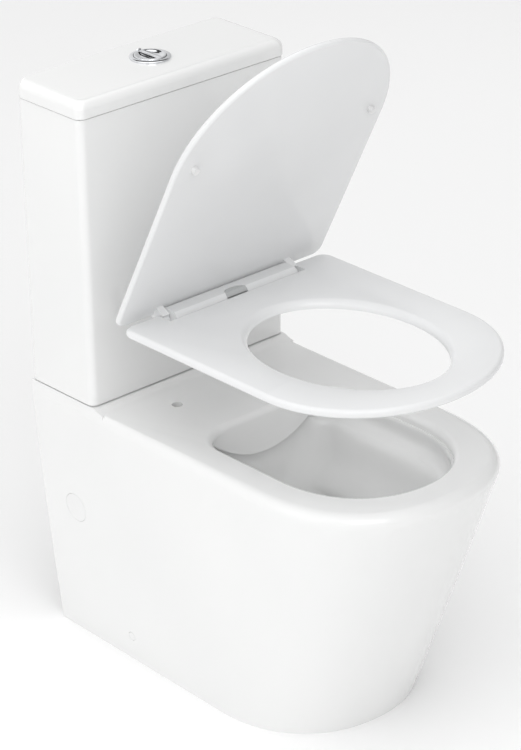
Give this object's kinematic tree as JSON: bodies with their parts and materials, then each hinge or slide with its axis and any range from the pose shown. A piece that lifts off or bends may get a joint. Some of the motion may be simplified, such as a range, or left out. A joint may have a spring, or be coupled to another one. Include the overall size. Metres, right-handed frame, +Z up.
{
  "type": "close coupled toilet",
  "caption": "Back-to-wall close coupled toilet with a tall slim cistern, a split push button on its lid, and a seat and lid unit lifted off the pan.",
  "frame": {"origin": "on the floor, on the centre plane, halfway between the wall face and the front of the seat", "axes": "+Z up, -Y out of the wall towards the user, +X to the right of someone facing the wall"},
  "size_m": [0.364, 0.634, 0.9185],
  "materials": {
    "ceramic": "glossy white glaze",
    "seat_plastic": "glossy white moulded plastic",
    "hinge_plastic": "white moulded plastic",
    "buffer_plastic": "soft white plastic",
    "release_grey": "grey moulded plastic",
    "chrome": "polished chrome",
    "steel": "stainless steel",
    "brass": "machined brass",
    "rubber": "black rubber",
    "white_rubber": "white rubber",
    "valve_white": "white moulded plastic",
    "valve_blue": "blue moulded plastic",
    "cap_plastic": "white cover plastic"
  },
  "bodies": {
    "pan_and_cistern": {"pan": "ceramic", "access_cap_left": "cap_plastic", "access_cap_right": "cap_plastic", "screw_caps": "cap_plastic", "floor_brackets": "steel", "bracket_screws": "steel", "floor_screws": "steel", "cistern_tank": "ceramic", "tank_seat_pad": "rubber", "close_coupling_gasket": "rubber", "cistern_bolts": "steel", "bolt_seals": "rubber", "plate_washers": "steel", "wing_nuts": "brass", "flush_valve_washer": "rubber", "flush_valve_base": "valve_white", "flush_valve_backnut": "valve_white", "flush_valve_tower": "valve_white", "fill_valve": "valve_white", "discharge_sleeve": "valve_white", "inlet_washer": "rubber", "inlet_backnut": "valve_white"},
    "cistern_cover": {"cistern_lid": "ceramic", "button_bezel": "chrome", "bezel_nut": "valve_white", "full_return_spring": "steel", "half_return_spring": "steel"},
    "full_button": {"full_flush_button": "chrome", "full_push_rod": "valve_white"},
    "half_button": {"half_flush_button": "chrome", "half_push_rod": "valve_white"},
    "full_plunger": {"full_flush_plunger": "valve_blue"},
    "half_plunger": {"half_flush_plunger": "valve_blue"},
    "flush_valve_lift": {"overflow_tube": "valve_white", "flush_seal": "rubber"},
    "float": {"fill_float": "valve_blue"},
    "float_lever": {"fill_lever": "valve_blue"},
    "seat_fixings": {"mounting_posts": "steel", "expansion_bushes": "rubber", "cone_nuts": "valve_white"},
    "hinge_block": {"hinge_bar": "hinge_plastic", "ring_damper": "valve_white", "lid_damper": "valve_white"},
    "release": {"release_button": "release_grey"},
    "shaft": {"hinge_shaft": "steel"},
    "ring": {"seat_ring": "seat_plastic", "ring_buffers": "buffer_plastic"},
    "lid": {"seat_lid": "seat_plastic", "lid_buffers": "buffer_plastic"}
  },
  "joints": [
    {"name": "cistern_lid_lift", "type": "slide", "parent": "pan_and_cistern", "child": "cistern_cover", "axis": [0, 0, 1], "range_m": [0, 0.08]},
    {"name": "full_flush_press", "type": "slide", "parent": "cistern_cover", "child": "full_button", "axis": [0, 0, -1], "range_m": [0, 0.007], "stiffness_N_per_m": 400, "springref_m": -0.004, "deforming": ["full_return_spring"]},
    {"name": "half_flush_press", "type": "slide", "parent": "cistern_cover", "child": "half_button", "axis": [0, 0, -1], "range_m": [0, 0.007], "stiffness_N_per_m": 400, "springref_m": -0.004, "deforming": ["half_return_spring"]},
    {"name": "full_plunger_slide", "type": "slide", "parent": "pan_and_cistern", "child": "full_plunger", "axis": [0, 0, -1], "range_m": [0, 0.007]},
    {"name": "half_plunger_slide", "type": "slide", "parent": "pan_and_cistern", "child": "half_plunger", "axis": [0, 0, -1], "range_m": [0, 0.007]},
    {"name": "flush_valve_rise", "type": "slide", "parent": "pan_and_cistern", "child": "flush_valve_lift", "axis": [0, 0, 1], "range_m": [0, 0.0175]},
    {"name": "float_drop", "type": "slide", "parent": "pan_and_cistern", "child": "float", "axis": [0, 0, -1], "range_m": [0, 0.012]},
    {"name": "fill_lever_turn", "type": "hinge", "parent": "pan_and_cistern", "child": "float_lever", "pos_m": [0.138, 0.257, 0.746], "axis": [0, -1, 0], "range_deg": [0, 12.1]},
    {"name": "seat_lower", "type": "slide", "parent": "pan_and_cistern", "child": "seat_fixings", "axis": [0, 0, 1], "range_m": [-0.132, 0]},
    {"name": "quick_release_lift", "type": "slide", "parent": "seat_fixings", "child": "hinge_block", "axis": [0, 0, 1], "range_m": [0, 0.02]},
    {"name": "release_press", "type": "slide", "parent": "hinge_block", "child": "release", "axis": [0, 0, -1], "range_m": [0, 0.003], "stiffness_N_per_m": 500, "springref_m": -0.002},
    {"name": "seat_raise", "type": "hinge", "parent": "hinge_block", "child": "shaft", "pos_m": [0, 0.109, 0.5203], "axis": [-1, 0, 0], "range_deg": [0, 32]},
    {"name": "ring_raise", "type": "hinge", "parent": "shaft", "child": "ring", "pos_m": [0, 0.109, 0.5203], "axis": [-1, 0, 0], "range_deg": [0, 60]},
    {"name": "lid_close", "type": "hinge", "parent": "shaft", "child": "lid", "pos_m": [0, 0.109, 0.5203], "axis": [-1, 0, 0], "range_deg": [-63.5, 0]}
  ],
  "couplings": [
    {"joint": "full_plunger_slide", "follows": "full_flush_press", "ratio": 1},
    {"joint": "half_plunger_slide", "follows": "half_flush_press", "ratio": 1},
    {"joint": "flush_valve_rise", "follows": "full_flush_press", "ratio": 2.5},
    {"joint": "fill_lever_turn", "follows": "float_drop", "rad_per_m": 17.5}
  ]
}
